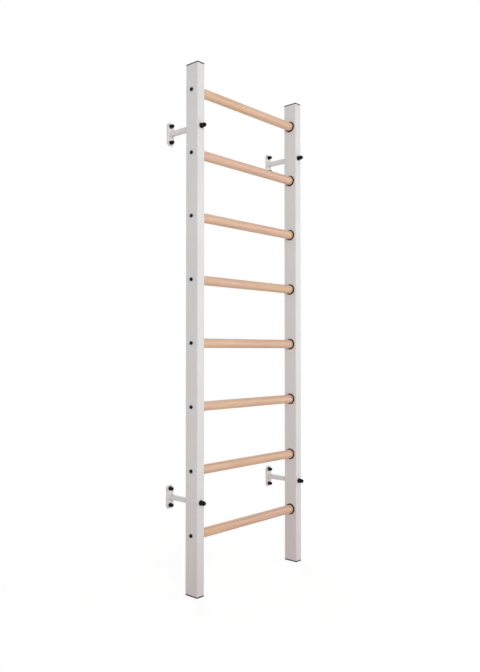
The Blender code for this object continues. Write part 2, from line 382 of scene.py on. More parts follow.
@dataclass(frozen=True)
class Thread:
    """The ridge of a screw thread round Z, with its foot inside the screw's core."""

    radius: float
    pitch: float
    turns: int
    half_foot: float = 0.42
    depth: float = 0.75
    steps_per_turn: int = 18

    def model(self, start: float) -> Shape:
        """Model the ridge.

        Args:
            start: height at which it starts, upwards.

        Returns:
            The ridge, with both ends closed.
        """
        half_foot = self.half_foot * self.pitch
        foot = self.radius - self.depth * self.pitch
        ridge = Shape()
        verts = [ridge.bm.verts.new((across, 0.0, height)) for across, height in (
            (foot, start - half_foot), (self.radius, start), (foot, start + half_foot))]
        section = ridge.bm.faces.new(verts)
        bmesh.ops.spin(
            ridge.bm, geom=[*verts, *section.edges, section], cent=ORIGIN, axis=UPWARDS,
            dvec=(0.0, 0.0, self.pitch / self.steps_per_turn), angle=FULL_TURN * self.turns,
            steps=self.steps_per_turn * self.turns, use_merge=False)
        ridge.tidy()
        return ridge


@dataclass(frozen=True)
class Figure:
    """One figure of the wood: patches per metre along and across the grain, and how fine."""

    scale: Point3
    detail: float = 0.0
    roughness: float = 0.5


class Wiring:
    """Adds and links the nodes of one node tree."""

    def __init__(self, tree: NodeTree) -> None:
        """Wire this tree."""
        self.tree = tree

    def add(self, kind: str, **settings: Any) -> Node:
        """Add a node.

        Args:
            kind: its type, without the ShaderNode prefix.
            settings: its properties.

        Returns:
            The node.
        """
        node = self.tree.nodes.new("ShaderNode" + kind)
        for name, value in settings.items():
            setattr(node, name, value)
        return node

    def feed(self, socket: NodeSocket, source: Any) -> None:
        """Link a socket to another one, or set its value.

        Args:
            socket: the input.
            source: an output, a number, a vector or a colour.
        """
        if isinstance(source, NodeSocket):
            self.tree.links.new(source, socket)
        else:
            socket.default_value = (*source, 1.0) if socket.type == "RGBA" else source

    def fill(self, node: Node, **sources: Any) -> dict[str, NodeSocket]:
        """Feed a node's inputs.

        Args:
            node: the node.
            sources: what feeds them, by name, with underscores for spaces.

        Returns:
            The node's outputs by name.
        """
        for name, source in sources.items():
            self.feed(node.inputs[name.replace("_", " ")], source)
        return {socket.name: socket for socket in node.outputs}

    def place(self, output: str = "Object") -> NodeSocket:
        """Return the place on the object, or another output of Texture Coordinate."""
        return self.add("TexCoord").outputs[output]

    def maths(self, operation: str, *values: Any) -> NodeSocket:
        """Work out an operation.

        Args:
            operation: the Math node's name for it.
            values: its sockets or numbers.

        Returns:
            The socket of the result.
        """
        node = self.add("Math", operation=operation)
        for socket, value in zip(node.inputs, values):
            self.feed(socket, value)
        return node.outputs["Value"]

    def length(self, vector: NodeSocket) -> NodeSocket:
        """Return the length of a vector."""
        return self.fill(self.add("VectorMath", operation="LENGTH"), Vector=vector)["Value"]

    def stretch(self, vector: NodeSocket, scale: Point3) -> NodeSocket:
        """Scale a vector along its three axes and return it."""
        return self.fill(self.add("Mapping"), Vector=vector, Scale=scale)["Vector"]

    def noise(self, vector: NodeSocket, scale: Any, detail: float = 2.0,
              roughness: float = 0.5) -> NodeSocket:
        """Return a noise from 0 to 1 with so many patches per unit, and its finer octaves."""
        return self.fill(self.add("TexNoise"), Vector=vector, Scale=scale, Detail=detail,
                         Roughness=roughness)["Fac"]

    def figure(self, place: NodeSocket, figure: Figure) -> NodeSocket:
        """Return a figure of the wood, from 0 to 1."""
        return self.noise(self.stretch(place, figure.scale), 1.0, figure.detail, figure.roughness)

    def ramp(self, value: Any, span: Point2, first: Any = 0.0, last: Any = 1.0) -> NodeSocket:
        """Turn a span of a value smoothly into the range from first to last."""
        return self.fill(self.add("MapRange", interpolation_type="SMOOTHSTEP"), Value=value,
                         From_Min=span[0], From_Max=span[1], To_Min=first, To_Max=last)["Result"]

    def blend(self, factor: Any, first: Any, second: Any, how: str = "MIX") -> NodeSocket:
        """Blend two colours.

        Args:
            factor: share of the second one.
            first: the colour below.
            second: the colour over it.
            how: the way in which they mix.

        Returns:
            The socket of the result.
        """
        node = self.add("Mix", data_type="RGBA", blend_type=how)
        sockets = {socket.identifier: socket for socket in (*node.inputs, *node.outputs)}
        for name, source in (("Factor_Float", factor), ("A_Color", first), ("B_Color", second)):
            self.feed(sockets[name], source)
        return sockets["Result_Color"]

    def bump(self, height: NodeSocket, depth: float) -> NodeSocket:
        """Turn a height from 0 to 1 into a normal, with this depth in metres."""
        return self.fill(self.add("Bump"), Strength=1.0, Distance=depth, Height=height)["Normal"]

    def seen_rays(self) -> NodeSocket:
        """Mask what is seen from what only lights.

        Returns:
            A mask that is 1 for what the camera, a gloss or a glass sees.
        """
        path = self.add("LightPath").outputs
        seen = self.maths("MAXIMUM", path["Is Camera Ray"], path["Is Glossy Ray"])
        return self.maths("MAXIMUM", seen, path["Is Transmission Ray"])


@dataclass(frozen=True)
class MouldedSkin:
    """The fine skin of a sprayed, moulded or plated surface: soft cells with finer ones."""

    finer: float = 4.3
    patches: float = 0.11

    @cache
    def build(self) -> NodeTree:
        """Build the skin once, as an effect that finishes share.

        Returns:
            The node group. It puts out a height and a gloss mask.
        """
        tree = bpy.data.node_groups.new("moulded_skin", "ShaderNodeTree")
        for name, way, kind in (
                ("Vector", "INPUT", "Vector"), ("Cell Size", "INPUT", "Float"),
                ("Fine Share", "INPUT", "Float"), ("Height", "OUTPUT", "Float"),
                ("Gloss", "OUTPUT", "Float")):
            tree.interface.new_socket(name, in_out=way, socket_type="NodeSocket" + kind)
        wiring = Wiring(tree)
        place, cell_size, fine_share, _ = tree.nodes.new("NodeGroupInput").outputs
        cells = wiring.maths("DIVIDE", 1.0, cell_size)
        broad = wiring.noise(place, cells, detail=1.0)
        fine = wiring.noise(place, wiring.maths("MULTIPLY", cells, self.finer))
        height = wiring.maths("ADD", broad, wiring.maths("MULTIPLY", fine, fine_share))
        patches = wiring.noise(place, wiring.maths("MULTIPLY", cells, self.patches), detail=3.0)
        wiring.fill(tree.nodes.new("NodeGroupOutput"), Height=height,
                    Gloss=wiring.ramp(patches, NOISE_SPREAD))
        return tree


class Finish:
    """A finish that makes its own material."""

    def build(self, name: str) -> Material:
        """Make the material.

        Args:
            name: its name.

        Returns:
            The finished material.
        """
        material = bpy.data.materials.new(name)
        material.use_nodes = True
        wiring = Wiring(material.node_tree)
        wiring.fill(material.node_tree.nodes["Principled BSDF"], **self.wire(wiring))
        return material

    def wire(self, wiring: Wiring) -> Sources:
        """Wire the surface and return what feeds the shader, by the name of its input."""
        raise NotImplementedError


@dataclass(frozen=True)
class Skin(Finish):
    """A one-colour surface with a fine skin: powder coat, moulded plastic, rubber or steel."""

    colour: Colour
    roughness: Point2
    dusted: Colour | None = None
    dust_share: float = 0.35
    mottle: float = 0.0
    mottle_scale: float = 1 / 0.12
    metallic: float = 0.0
    gloss: float = 0.5
    cell_size: float = 0.5 * MM
    fine_share: float = 0.6
    depth: float = 0.01 * MM

    def wire(self, wiring: Wiring) -> Sources:
        """Wire the surface.

        Args:
            wiring: the material's wiring.

        Returns:
            What feeds the shader.
        """
        place = wiring.place()
        skin = wiring.fill(wiring.add("Group", node_tree=MouldedSkin().build()), Vector=place,
                           Cell_Size=self.cell_size, Fine_Share=self.fine_share)
        colour = self.colour
        if self.dusted:
            dust = wiring.maths("MULTIPLY", skin["Gloss"], self.dust_share)
            colour = wiring.blend(dust, colour, self.dusted)
        if self.mottle:
            patches = wiring.noise(place, self.mottle_scale, detail=3.0, roughness=0.55)
            tone = wiring.ramp(patches, NOISE_SPREAD, 1.0 - self.mottle, 1.0 + self.mottle)
            colour = wiring.blend(1.0, colour, tone, "MULTIPLY")
        return {"Base_Color": colour,
                "Roughness": wiring.ramp(skin["Gloss"], (0.0, 1.0), *self.roughness),
                "Normal": wiring.bump(skin["Height"], self.depth),
                "Metallic": self.metallic,
                "Specular_IOR_Level": self.gloss}


@dataclass(frozen=True)
class Beech(Finish):
    """Clear-varnished beech, as a solid that is read at the piece's own place in the plank.

    X runs along the grain. There are growth rings about the X axis, drifting streaks, the slow
    change from yellow to pink, fine fibres and the short dark flecks of beech.
    """

    place_attribute: str = "plank_place"
    yellow: Colour = (0.855, 0.615, 0.385)
    pink: Colour = (0.85, 0.56, 0.465)
    band: Figure = Figure((7.0, 55.0, 55.0), 1.0)
    band_share: float = 0.55
    plank: Figure = Figure((1.3, 4.0, 4.0))
    blush_spread: Point2 = (0.40, 0.60)
    honey: Colour = (0.74, 0.465, 0.315)
    streak: Figure = Figure((5.0, 110.0, 110.0), 3.0, 0.6)
    ring: Colour = (0.62, 0.365, 0.21)
    ring_share: float = 0.30
    ring_width: float = 2.4 * MM
    ring_drift: float = 6.0 * MM
    drift: Figure = Figure((2.5, 16.0, 16.0), 2.0)
    late_wood: Point2 = (0.35, 0.92)
    ring_edge: Point2 = (0.93, 1.0)
    fibre: Figure = Figure((90.0, 2600.0, 2600.0), 2.0)
    fibre_spread: Point2 = (0.35, 0.75)
    fibre_share: float = 0.16
    fleck: Colour = (0.36, 0.17, 0.08)
    fleck_share: float = 0.55
    fleck_cells: Figure = Figure((260.0, 2400.0, 1500.0))
    fleck_clusters: Figure = Figure((30.0, 160.0, 160.0), 1.0)
    cluster_spread: Point2 = (0.35, 0.65)
    fleck_threshold: Point2 = (0.74, 0.64)
    fleck_edge: float = 0.05
    fleck_depth: float = -0.6
    sheen_spread: Point2 = (0.2, 0.8)
    roughness: Point2 = (0.42, 0.54)
    grain_depth: float = 0.02 * MM

    def wire(self, wiring: Wiring) -> Sources:
        """Wire the surface.

        Args:
            wiring: the material's wiring.

        Returns:
            What feeds the shader.
        """
        place = wiring.add("Attribute", attribute_name=self.place_attribute).outputs["Vector"]
        drift, streak, band, plank, fibre, cells, clusters = (
            wiring.figure(place, figure) for figure in (
                self.drift, self.streak, self.band, self.plank, self.fibre, self.fleck_cells,
                self.fleck_clusters))
        blush = wiring.maths("ADD", wiring.maths("MULTIPLY", band, self.band_share),
                             wiring.maths("MULTIPLY", plank, 1.0 - self.band_share))
        across = wiring.length(wiring.stretch(place, (0.0, 1.0, 1.0)))
        bent = wiring.maths("ADD", across, wiring.maths("MULTIPLY", drift, self.ring_drift))
        phase = wiring.maths("FRACT", wiring.maths("DIVIDE", bent, self.ring_width))
        ring = wiring.maths("MULTIPLY", wiring.ramp(phase, self.late_wood),
                            wiring.ramp(phase, self.ring_edge, 1.0, 0.0))
        threshold = wiring.ramp(clusters, self.cluster_spread, *self.fleck_threshold)
        over = wiring.maths("SUBTRACT", cells, threshold)
        fleck = wiring.ramp(over, (0.0, self.fleck_edge))
        colour = self.yellow
        for share, layer in (
                (wiring.ramp(blush, self.blush_spread), self.pink),
                (wiring.ramp(streak, NOISE_SPREAD), self.honey),
                (wiring.maths("MULTIPLY", ring, self.ring_share), self.ring),
                (wiring.ramp(fibre, self.fibre_spread, 0.0, self.fibre_share), self.ring),
                (wiring.maths("MULTIPLY", fleck, self.fleck_share), self.fleck)):
            colour = wiring.blend(share, colour, layer)
        height = wiring.maths("ADD", fibre, wiring.maths("MULTIPLY", fleck, self.fleck_depth))
        return {"Base_Color": colour,
                "Roughness": wiring.ramp(fibre, self.sheen_spread, *self.roughness),
                "Normal": wiring.bump(height, self.grain_depth)}


FINISHES: dict[Slot, Finish] = {
    Slot.POWDER_COAT: Skin((0.80, 0.79, 0.78), (0.40, 0.48), mottle=0.012, cell_size=2.2 * MM,
                           fine_share=0.3, depth=0.022 * MM),
    Slot.BEECH: Beech(),
    Slot.RUBBER: Skin((0.005, 0.005, 0.005), (0.58, 0.72), (0.010, 0.0097, 0.0094), gloss=0.08,
                      cell_size=0.35 * MM),
    Slot.PLASTIC: Skin((0.0045, 0.0045, 0.005), (0.30, 0.42), (0.009, 0.009, 0.0094), gloss=0.1,
                       cell_size=0.6 * MM, depth=0.006 * MM),
    Slot.BLACK_STEEL: Skin((0.005, 0.005, 0.0055), (0.34, 0.50), (0.010, 0.010, 0.0097),
                           gloss=0.1, cell_size=0.25 * MM),
    Slot.ZINC_STEEL: Skin((0.60, 0.60, 0.58), (0.28, 0.42), (0.50, 0.50, 0.49), metallic=1.0,
                          cell_size=0.8 * MM),
}


@dataclass(frozen=True)
class SharedSizes:
    """The sizes that neighbouring pieces share."""

    rung: float
    tube_wall: float = 2.0 * MM
    tube_corner: float = 3.0 * MM
    corner_steps: int = 6
    sleeve_wall: float = 1.5 * MM
    screw: float = 4.0 * MM

    @property
    def bore(self) -> float:
        """Radius of the grommet's bore."""
        return self.rung + SEAT_GAP

    @property
    def sleeve(self) -> float:
        """Outer radius of the grommet's sleeve."""
        return self.bore + self.sleeve_wall


class Workshop:
    """Holds the materials and the shared sizes, and puts finished pieces into the scene."""

    def __init__(self) -> None:
        """Build every finish once and measure a rung."""
        self.materials = {slot: finish.build(slot.value) for slot, finish in FINISHES.items()}
        self.sizes = SharedSizes(rung=node_size("rung_1").z / 2)

    def fit(self, shape: Shape, name: str, slot: Slot, place: Matrix, *nodes: str) -> Object:
        """Finish a shape, put it in its place and let it stand for its nodes.

        Args:
            shape: the modelled shape.
            name: the piece's name.
            slot: the material slot of its finish.
            place: where it goes.
            nodes: the solids that it stands for, if any.

        Returns:
            The piece.
        """
        piece = shape.piece(name, self.materials[slot], place)
        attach(piece, BODY)
        if nodes:
            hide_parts(*nodes)
        LOG.info("%s: %d faces, %s", name, len(piece.data.polygons), slot.value)
        return piece


@dataclass
class SubAssembly:
    """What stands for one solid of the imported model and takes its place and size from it."""

    workshop: Workshop
    node: str

    def __post_init__(self) -> None:
        """Read the solid's box."""
        self.low, self.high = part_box(self.node)
        self.size = node_size(self.node)
        self.axis = node_middle(self.node)
        self.shared = self.workshop.sizes

    @property
    def side(self) -> Side:
        """Side of the frame that the solid is on."""
        return Side.LEFT if Side.LEFT.word in self.node else Side.RIGHT

    def fit(self, shape: Shape, slot: Slot, place: Matrix) -> Object:
        """Fit the piece that stands for the solid itself, and return it."""
        return self.workshop.fit(shape, f"finished_{self.node}", slot, place, self.node)

    def fit_along_x(self, shape: Shape, slot: Slot, towards: int, height: float) -> None:
        """Fit a shape that was modelled along Z in the piece's place along X.

        Args:
            shape: the modelled shape.
            slot: the material slot of its finish.
            towards: sign of the way along X that its upper end faces.
            height: height of that end in the shape.
        """
        face = self.high.x if towards > 0 else self.low.x
        seat = at(face - towards * height, self.axis.y, self.axis.z)
        self.fit(shape, slot, seat @ quarters(towards, "Y"))


@dataclass
class UprightTube(SubAssembly):
    """One upright: rectangular steel tube with its rounded corners and its drilled holes."""

    screw_clearance: float = 0.4 * MM
    bolt_hole: float = 4.4 * MM
    hole_sides: int = 48

    def drills(self) -> Shape:
        """Model what is drilled out, with the tube's inner side towards +X.

        Returns:
            All the drills as one shape.
        """
        reach = self.size.y
        rung_hole = (self.shared.sleeve + SEAT_GAP, 0.0, reach)
        screw_hole = (self.shared.screw + self.screw_clearance, -reach, -self.shared.tube_corner)
        bolt_hole = (self.bolt_hole, -reach, reach)
        wanted = [(f"rung_{number}", "Y", hole)
                  for number in rung_numbers() for hole in (rung_hole, screw_hole)]
        wanted += [(f"wall_bracket_{level.word}_{self.side.word}", "X", bolt_hole)
                   for level in Level]
        drills = Shape()
        for node, axis, hole in wanted:
            height = at(0.0, 0.0, node_middle(node).z)
            drills.add(Shape.rod(*hole, self.hole_sides).moved(height @ quarters(1, axis)))
        return drills

    def build(self) -> None:
        """Model the tube and put it in its place."""
        tube = Shape.bar(self.size.x, self.size.y, (self.low.z, self.high.z),
                         self.shared.tube_corner, self.shared.corner_steps)
        tube.hollow(self.shared.tube_wall)
        tube.combine(self.drills(), Joining.CUT)
        turn = quarters(0 if self.side is Side.LEFT else 2, "Z")
        self.fit(tube, Slot.POWDER_COAT, at(self.axis.x, self.axis.y, 0.0) @ turn)


@dataclass
class EndPlug(SubAssembly):
    """A plastic plug in the end of an upright: crowned plate, hollow shank and sealing fins."""

    crown: float = 0.8 * MM
    crown_steps: int = 3
    shank_wall: float = 2.5 * MM
    fin_reach: float = 0.5 * MM
    fin_height: float = 1.4 * MM
    fin_count: int = 3

    def model(self, plate: float) -> Shape:
        """Model a top plug, with the underside of its plate at the height 0.

        Args:
            plate: thickness of its plate.

        Returns:
            The plug.
        """
        plug = Shape.bar(self.size.x, self.size.y, (0.0, plate),
                         self.shared.tube_corner, self.shared.corner_steps)
        plug.round_end(plate, self.crown, self.crown_steps)
        shank = self.size.z - plate
        spacing = (shank - self.fin_count * self.fin_height) / self.fin_count
        end = lying_at(0.0, plug.bm.faces)
        plug.inset(end, self.shared.tube_wall + SEAT_GAP + self.fin_reach)
        for _ in range(self.fin_count):
            end = plug.draw(end, -spacing)
            plug.inset(end, -self.fin_reach)
            end = plug.draw(end, -self.fin_height)
            plug.inset(end, self.fin_reach)
        plug.inset(end, self.shank_wall)
        plug.draw(end, shank)
        plug.tidy()
        return plug

    def build(self) -> None:
        """Model the plug and put it in its place."""
        tube_low, tube_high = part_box(f"upright_{self.side.word}")
        if Level.TOP.word in self.node:
            plate = self.high.z - tube_high.z - SEAT_GAP
            seat = at(self.axis.x, self.axis.y, self.high.z - plate)
        else:
            plate = tube_low.z - self.low.z - SEAT_GAP
            seat = at(self.axis.x, self.axis.y, self.low.z + plate) @ quarters(2, "X")
        self.fit(self.model(plate), Slot.PLASTIC, seat)


@dataclass
class Rung(SubAssembly):
    """A round beech rung, chamfered and drilled at both ends, cut from its own part of a plank."""

    number: int
    edge: float = 1.5 * MM
    edge_steps: int = 4
    drill_depth: float = 50.0 * MM
    steps_round: int = 96
    pith_distance: float = 70.0 * MM
    plank_step: float = 0.9
    golden_turn: float = math.radians(137.5)
    grain_slope: float = math.radians(0.7)

    def model(self) -> Shape:
        """Model the rung along Z with its middle at the origin.

        Returns:
            The turned and drilled rung.
        """
        half = self.size.x / 2
        drill = self.shared.screw + SEAT_GAP
        centre = (self.shared.rung - self.edge, half - self.edge)
        upper = [(0.0, half - self.drill_depth), (drill, half - self.drill_depth), (drill, half)]
        upper += reversed(quarter_round(centre, (self.edge, self.edge), 0.0, self.edge_steps))
        lower = [(radius, -height) for radius, height in reversed(upper)]
        return Shape.turned(upper + lower, self.steps_round)

    def mark_grain(self, piece: Object) -> None:
        """Store where each point of the rung lay in its plank, with X along the grain.

        Args:
            piece: the finished rung.
        """
        turn = Matrix.Rotation(self.number * self.golden_turn, 4, "X")
        slope = Matrix.Rotation(self.grain_slope * math.sin(self.number), 4, "Y")
        cut = at(self.number * self.plank_step, self.pith_distance, 0.0)
        to_plank = cut @ slope @ turn @ at(*-self.axis)
        places = piece.data.attributes.new(Beech.place_attribute, "FLOAT_VECTOR", "POINT")
        for vert, place in zip(piece.data.vertices, places.data):
            place.vector = to_plank @ vert.co

    def build(self) -> None:
        """Model the rung, put it in its place and mark its grain."""
        self.mark_grain(self.fit(self.model(), Slot.BEECH, at(*self.axis) @ quarters(1, "Y")))


@dataclass
class Grommet(SubAssembly):
    """A rubber grommet: rounded flange on the tube, sleeve through the hole, snap lip behind it."""

    flange: float = 4.0 * MM
    outer_round: float = 1.6 * MM
    outer_steps: int = 5
    inner_round: float = 0.7 * MM
    inner_steps: int = 3
    lip: float = 0.6 * MM
    steps_round: int = 80

    def model(self) -> Shape:
        """Model the grommet along Z, with its flange above the height 0.

        Returns:
            The grommet.
        """
        radius = self.size.z / 2
        tail = self.flange - self.size.x
        wall_back = -(SEAT_GAP + self.shared.tube_wall + SEAT_GAP)
        bore, sleeve = self.shared.bore, self.shared.sleeve
        profile = [(bore, tail)]
        for edge, rounding, start, steps in (
                (bore + self.inner_round, self.inner_round, QUARTER_TURN, self.inner_steps),
                (radius - self.outer_round, self.outer_round, 0.0, self.outer_steps)):
            centre = (edge, self.flange - rounding)
            profile += reversed(quarter_round(centre, (rounding, rounding), start, steps))
        profile += [(radius, 0.0), (sleeve, 0.0), (sleeve, wall_back),
                    (sleeve + self.lip, wall_back - self.lip), (sleeve, tail)]
        return Shape.turned(profile, self.steps_round, ring=True)

    def build(self) -> None:
        """Model the grommet and put it in its place."""
        self.fit_along_x(self.model(), Slot.RUBBER, -self.side.value, self.flange)


@dataclass
class RungScrew(SubAssembly):
    """A dome-headed screw with a hexagon socket and a wood thread."""

    head_height: float = 7.5 * MM
    head_flank: float = 2.4 * MM
    dome_steps: int = 10
    socket_flats: float = 5.0 * MM
    socket_depth: float = 3.6 * MM
    edge: float = 0.4 * MM
    neck: float = 8.0 * MM
    thread_pitch: float = 3.0 * MM
    thread_turns: int = 12
    core_share: float = 0.72
    steps_round: int = 48

    def model(self) -> Shape:
        """Model the screw along Z, with its head above the height 0.

        Returns:
            The screw.
        """
        radius = self.size.z / 2
        tip = self.head_height - self.size.x
        shank = self.shared.screw
        core = self.core_share * shank
        dome = quarter_round((0.0, self.head_flank), (radius, self.head_height - self.head_flank),
                             0.0, self.dome_steps)
        profile = [(0.0, self.head_height), *reversed(dome[:-1]), (radius, self.edge),
                   (radius - self.edge, 0.0), (shank, 0.0), (shank, -self.neck),
                   (core, -self.neck - core / 2), (core, 2 * core + tip), (0.0, tip)]
        screw = Shape.turned(profile, self.steps_round)
        socket = Shape.rod(self.socket_flats / 2 / HEXAGON_FLAT,
                           self.head_height - self.socket_depth, 2 * self.head_height, HEXAGON)
        screw.combine(socket, Joining.CUT)
        thread = Thread(shank, self.thread_pitch, self.thread_turns)
        screw.combine(thread.model(3 * core + tip), Joining.ADD)
        return screw

    def build(self, shape: Shape) -> None:
        """Put the modelled screw, which is the same for all, in its place."""
        self.fit_along_x(shape, Slot.BLACK_STEEL, self.side.value, self.head_height)


@dataclass
class NutCap:
    """A black plastic nut cap: round flange, six flats with soft corners and a dome."""

    radius: float
    height: float
    room_flats: float
    room_depth: float
    flange: float = 2.5 * MM
    flange_round: float = 0.6 * MM
    rim: float = 0.6 * MM
    dome_share: float = 0.35
    dome_width: float = 0.985
    dome_sink: float = 0.3
    dome_steps: int = 10
    corner_round: float = 1.0 * MM
    round_steps: int = 3
    steps_round: int = 48

    def model(self) -> Shape:
        """Model the cap along Z, with its open side at the height 0.

        Returns:
            The cap.
        """
        corner = self.radius - self.rim
        shoulder = self.height * (1 - self.dome_share)
        edge = (self.radius - self.flange_round, self.flange - self.flange_round)
        reach = (self.flange_round, self.flange_round)
        flange = [(0.0, 0.0), (self.radius, 0.0),
                  *quarter_round(edge, reach, 0.0, self.round_steps), (0.0, self.flange)]
        cap = Shape.turned(flange, self.steps_round)
        body = Shape.rod(corner, self.flange / 2, shoulder, HEXAGON)
        body.round_sides(self.corner_round, self.round_steps)
        body.round_end(shoulder, self.corner_round, self.round_steps)
        cap.combine(body, Joining.ADD)
        width = self.dome_width * corner * HEXAGON_FLAT
        foot = shoulder - self.corner_round * self.dome_sink
        arc = quarter_round((0.0, foot), (width, self.height - foot), 0.0, self.dome_steps)
        dome = [(0.0, self.flange), (width, self.flange), *arc[:-1], (0.0, self.height)]
        cap.combine(Shape.turned(dome, self.steps_round), Joining.ADD)
        room = Shape.rod(self.room_flats / 2 / HEXAGON_FLAT + SEAT_GAP, -self.flange,
                         self.room_depth, self.steps_round)
        cap.combine(room, Joining.CUT)
        return cap


@dataclass
class BracketBolt(SubAssembly):
    """A zinc-plated hexagon bolt with its washer and thread."""

    head_flats: float = 13.0 * MM
    head_height: float = 5.3 * MM
    head_edge: float = 0.4 * MM
    edge_steps: int = 2
    washer_height: float = 1.2 * MM
    washer_radius: float = 7.2 * MM
    shank: float = 4.0 * MM
    thread_pitch: float = 1.25 * MM
    thread_turns: int = 16
    thread_depth: float = 0.55
    tip_share: float = 0.7
    tip_steepness: float = 3.0
    steps_round: int = 48

    def model(self) -> Shape:
        """Model the bolt along Z, with its seat at the height 0.

        Returns:
            The bolt with its washer.
        """
        end = self.head_height - self.size.y
        core = self.shank - self.thread_depth * self.thread_pitch
        start = end + self.thread_pitch
        top = start + self.thread_pitch * self.thread_turns
        profile = [(0.0, self.washer_height), (self.washer_radius, self.washer_height),
                   (self.washer_radius, 0.0), (self.shank, 0.0), (self.shank, top),
                   (core, top - self.thread_pitch / 2), (core, end + core / self.tip_steepness),
                   (core * self.tip_share, end), (0.0, end)]
        bolt = Shape.turned(profile, self.steps_round)
        head = Shape.rod(self.head_flats / 2 / HEXAGON_FLAT, self.washer_height / 2,
                         self.head_height, HEXAGON)
        head.round_end(self.head_height, self.head_edge, self.edge_steps)
        bolt.combine(head, Joining.ADD)
        thread = Thread(self.shank, self.thread_pitch, self.thread_turns)
        bolt.combine(thread.model(start), Joining.ADD)
        return bolt


@dataclass
class WallBracket(SubAssembly):
    """A wall bracket: chamfered plate, welded square arm with its nut, and two nut caps."""

    thickness: float = 5.0 * MM
    chamfer: float = 10.0 * MM
    edge: float = 0.5 * MM
    edge_steps: int = 2
    hole_spacing: float = 70.0 * MM
    hole_radius: float = 3.5 * MM
    hole_sides: int = 32
    arm_size: float = 20.0 * MM
    arm_wall: float = 2.0 * MM
    arm_corner: float = 2.2 * MM
    arm_steps: int = 4
    nut_thickness: float = 8.0 * MM
    nut_corner: float = 0.55 * MM
    bolt_radius: float = 4.3 * MM
    bead: float = 2.3 * MM
    bead_steps: int = 12
    bead_squareness: int = 8
    ripples: int = 44
    ripple_steps: int = 8
    ripple_share: float = 0.07
    cap_radius: float = 9.0 * MM
    cap_height: float = 20.5 * MM
    screw_head_flats: float = 10.0 * MM
    screw_head_height: float = 5.5 * MM

    def plate(self) -> Shape:
        """Model the plate, with its back at the height 0 and its upper end towards +Y.

        Returns:
            The drilled plate.
        """
        plate = Shape.bar(self.size.x, self.size.z, (0.0, self.thickness), self.chamfer, 1)
        for height in (self.thickness, 0.0):
            plate.round_end(height, self.edge, self.edge_steps)
        for fastening in Fastening:
            drill = Shape.rod(
                self.hole_radius, -self.thickness, 2 * self.thickness, self.hole_sides)
            across = fastening.value * self.hole_spacing / 2
            plate.combine(drill.moved(at(0.0, across, 0.0)), Joining.CUT)
        return plate

    def arm(self) -> Shape:
        """Model the arm from the plate's face to the bracket's front end.

        Returns:
            The arm, with both ends open.
        """
        arm = Shape.bar(self.arm_size, self.arm_size, (self.thickness, self.size.y),
                        self.arm_corner, self.arm_steps)
        arm.hollow(self.arm_wall)
        return arm

    def nut(self) -> Shape:
        """Model the nut plate that is welded into the arm's front end.

        Returns:
            The nut plate with its bore.
        """
        inside = self.arm_size - 2 * self.arm_wall
        front = self.size.y
        nut = Shape.bar(inside, inside, (front - self.nut_thickness, front - self.edge),
                        self.nut_corner, self.edge_steps)
        nut.combine(Shape.rod(self.bolt_radius, 0.0, 2 * front, self.hole_sides), Joining.CUT)
        return nut

    def weld(self) -> Shape:
        """Model the rippled bead that runs round the arm's foot.

        Returns:
            A ring turned about Z and pressed to the arm's square outline.
        """
        section = [(1.0 + self.bead * math.cos(angle), self.bead * math.sin(angle)) for angle in (
            step / self.bead_steps * FULL_TURN for step in range(self.bead_steps))]
        bead = Shape.turned(section, self.ripple_steps * self.ripples, ring=True)
        half, power = self.arm_size / 2, self.bead_squareness
        for vert in bead.bm.verts:
            angle = math.atan2(vert.co.y, vert.co.x)
            across, along = math.cos(angle), math.sin(angle)
            square = (abs(across) ** power + abs(along) ** power) ** (-1 / power)
            ripple = 1.0 + self.ripple_share * math.sin(self.ripples * angle)
            reach = half * square + (vert.co.xy.length - 1.0) * ripple
            vert.co = (reach * across, reach * along, self.thickness + vert.co.z * ripple)
        return bead

    def build(self, plate_cap: Shape) -> None:
        """Model the bracket and put it in its place with its two nut caps.

        Args:
            plate_cap: the modelled nut cap, which is the same for all.
        """
        label = self.node.removeprefix("wall_bracket_")
        place = at(self.axis.x, self.high.y, self.axis.z) @ quarters(1, "X")
        self.fit(self.plate(), Slot.POWDER_COAT, place)
        for shape, word, slot in ((self.arm(), "bracket_arm", Slot.POWDER_COAT),
                                  (self.nut(), "arm_nut", Slot.ZINC_STEEL),
                                  (self.weld(), "arm_weld", Slot.POWDER_COAT)):
            self.workshop.fit(shape, f"{word}_{label}", slot, place)
        for fastening in Fastening:
            seat = at(0.0, fastening.value * self.hole_spacing / 2, self.thickness)
            name = f"plate_cap_{fastening.word}_{label}"
            self.workshop.fit(plate_cap, name, Slot.PLASTIC, place @ seat)


def rung_numbers() -> list[int]:
    """Return the rungs' numbers, from the floor up."""
    found = [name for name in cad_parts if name.startswith("rung_") and name.count("_") == 1]
    return sorted(int(name.split("_")[1]) for name in found)


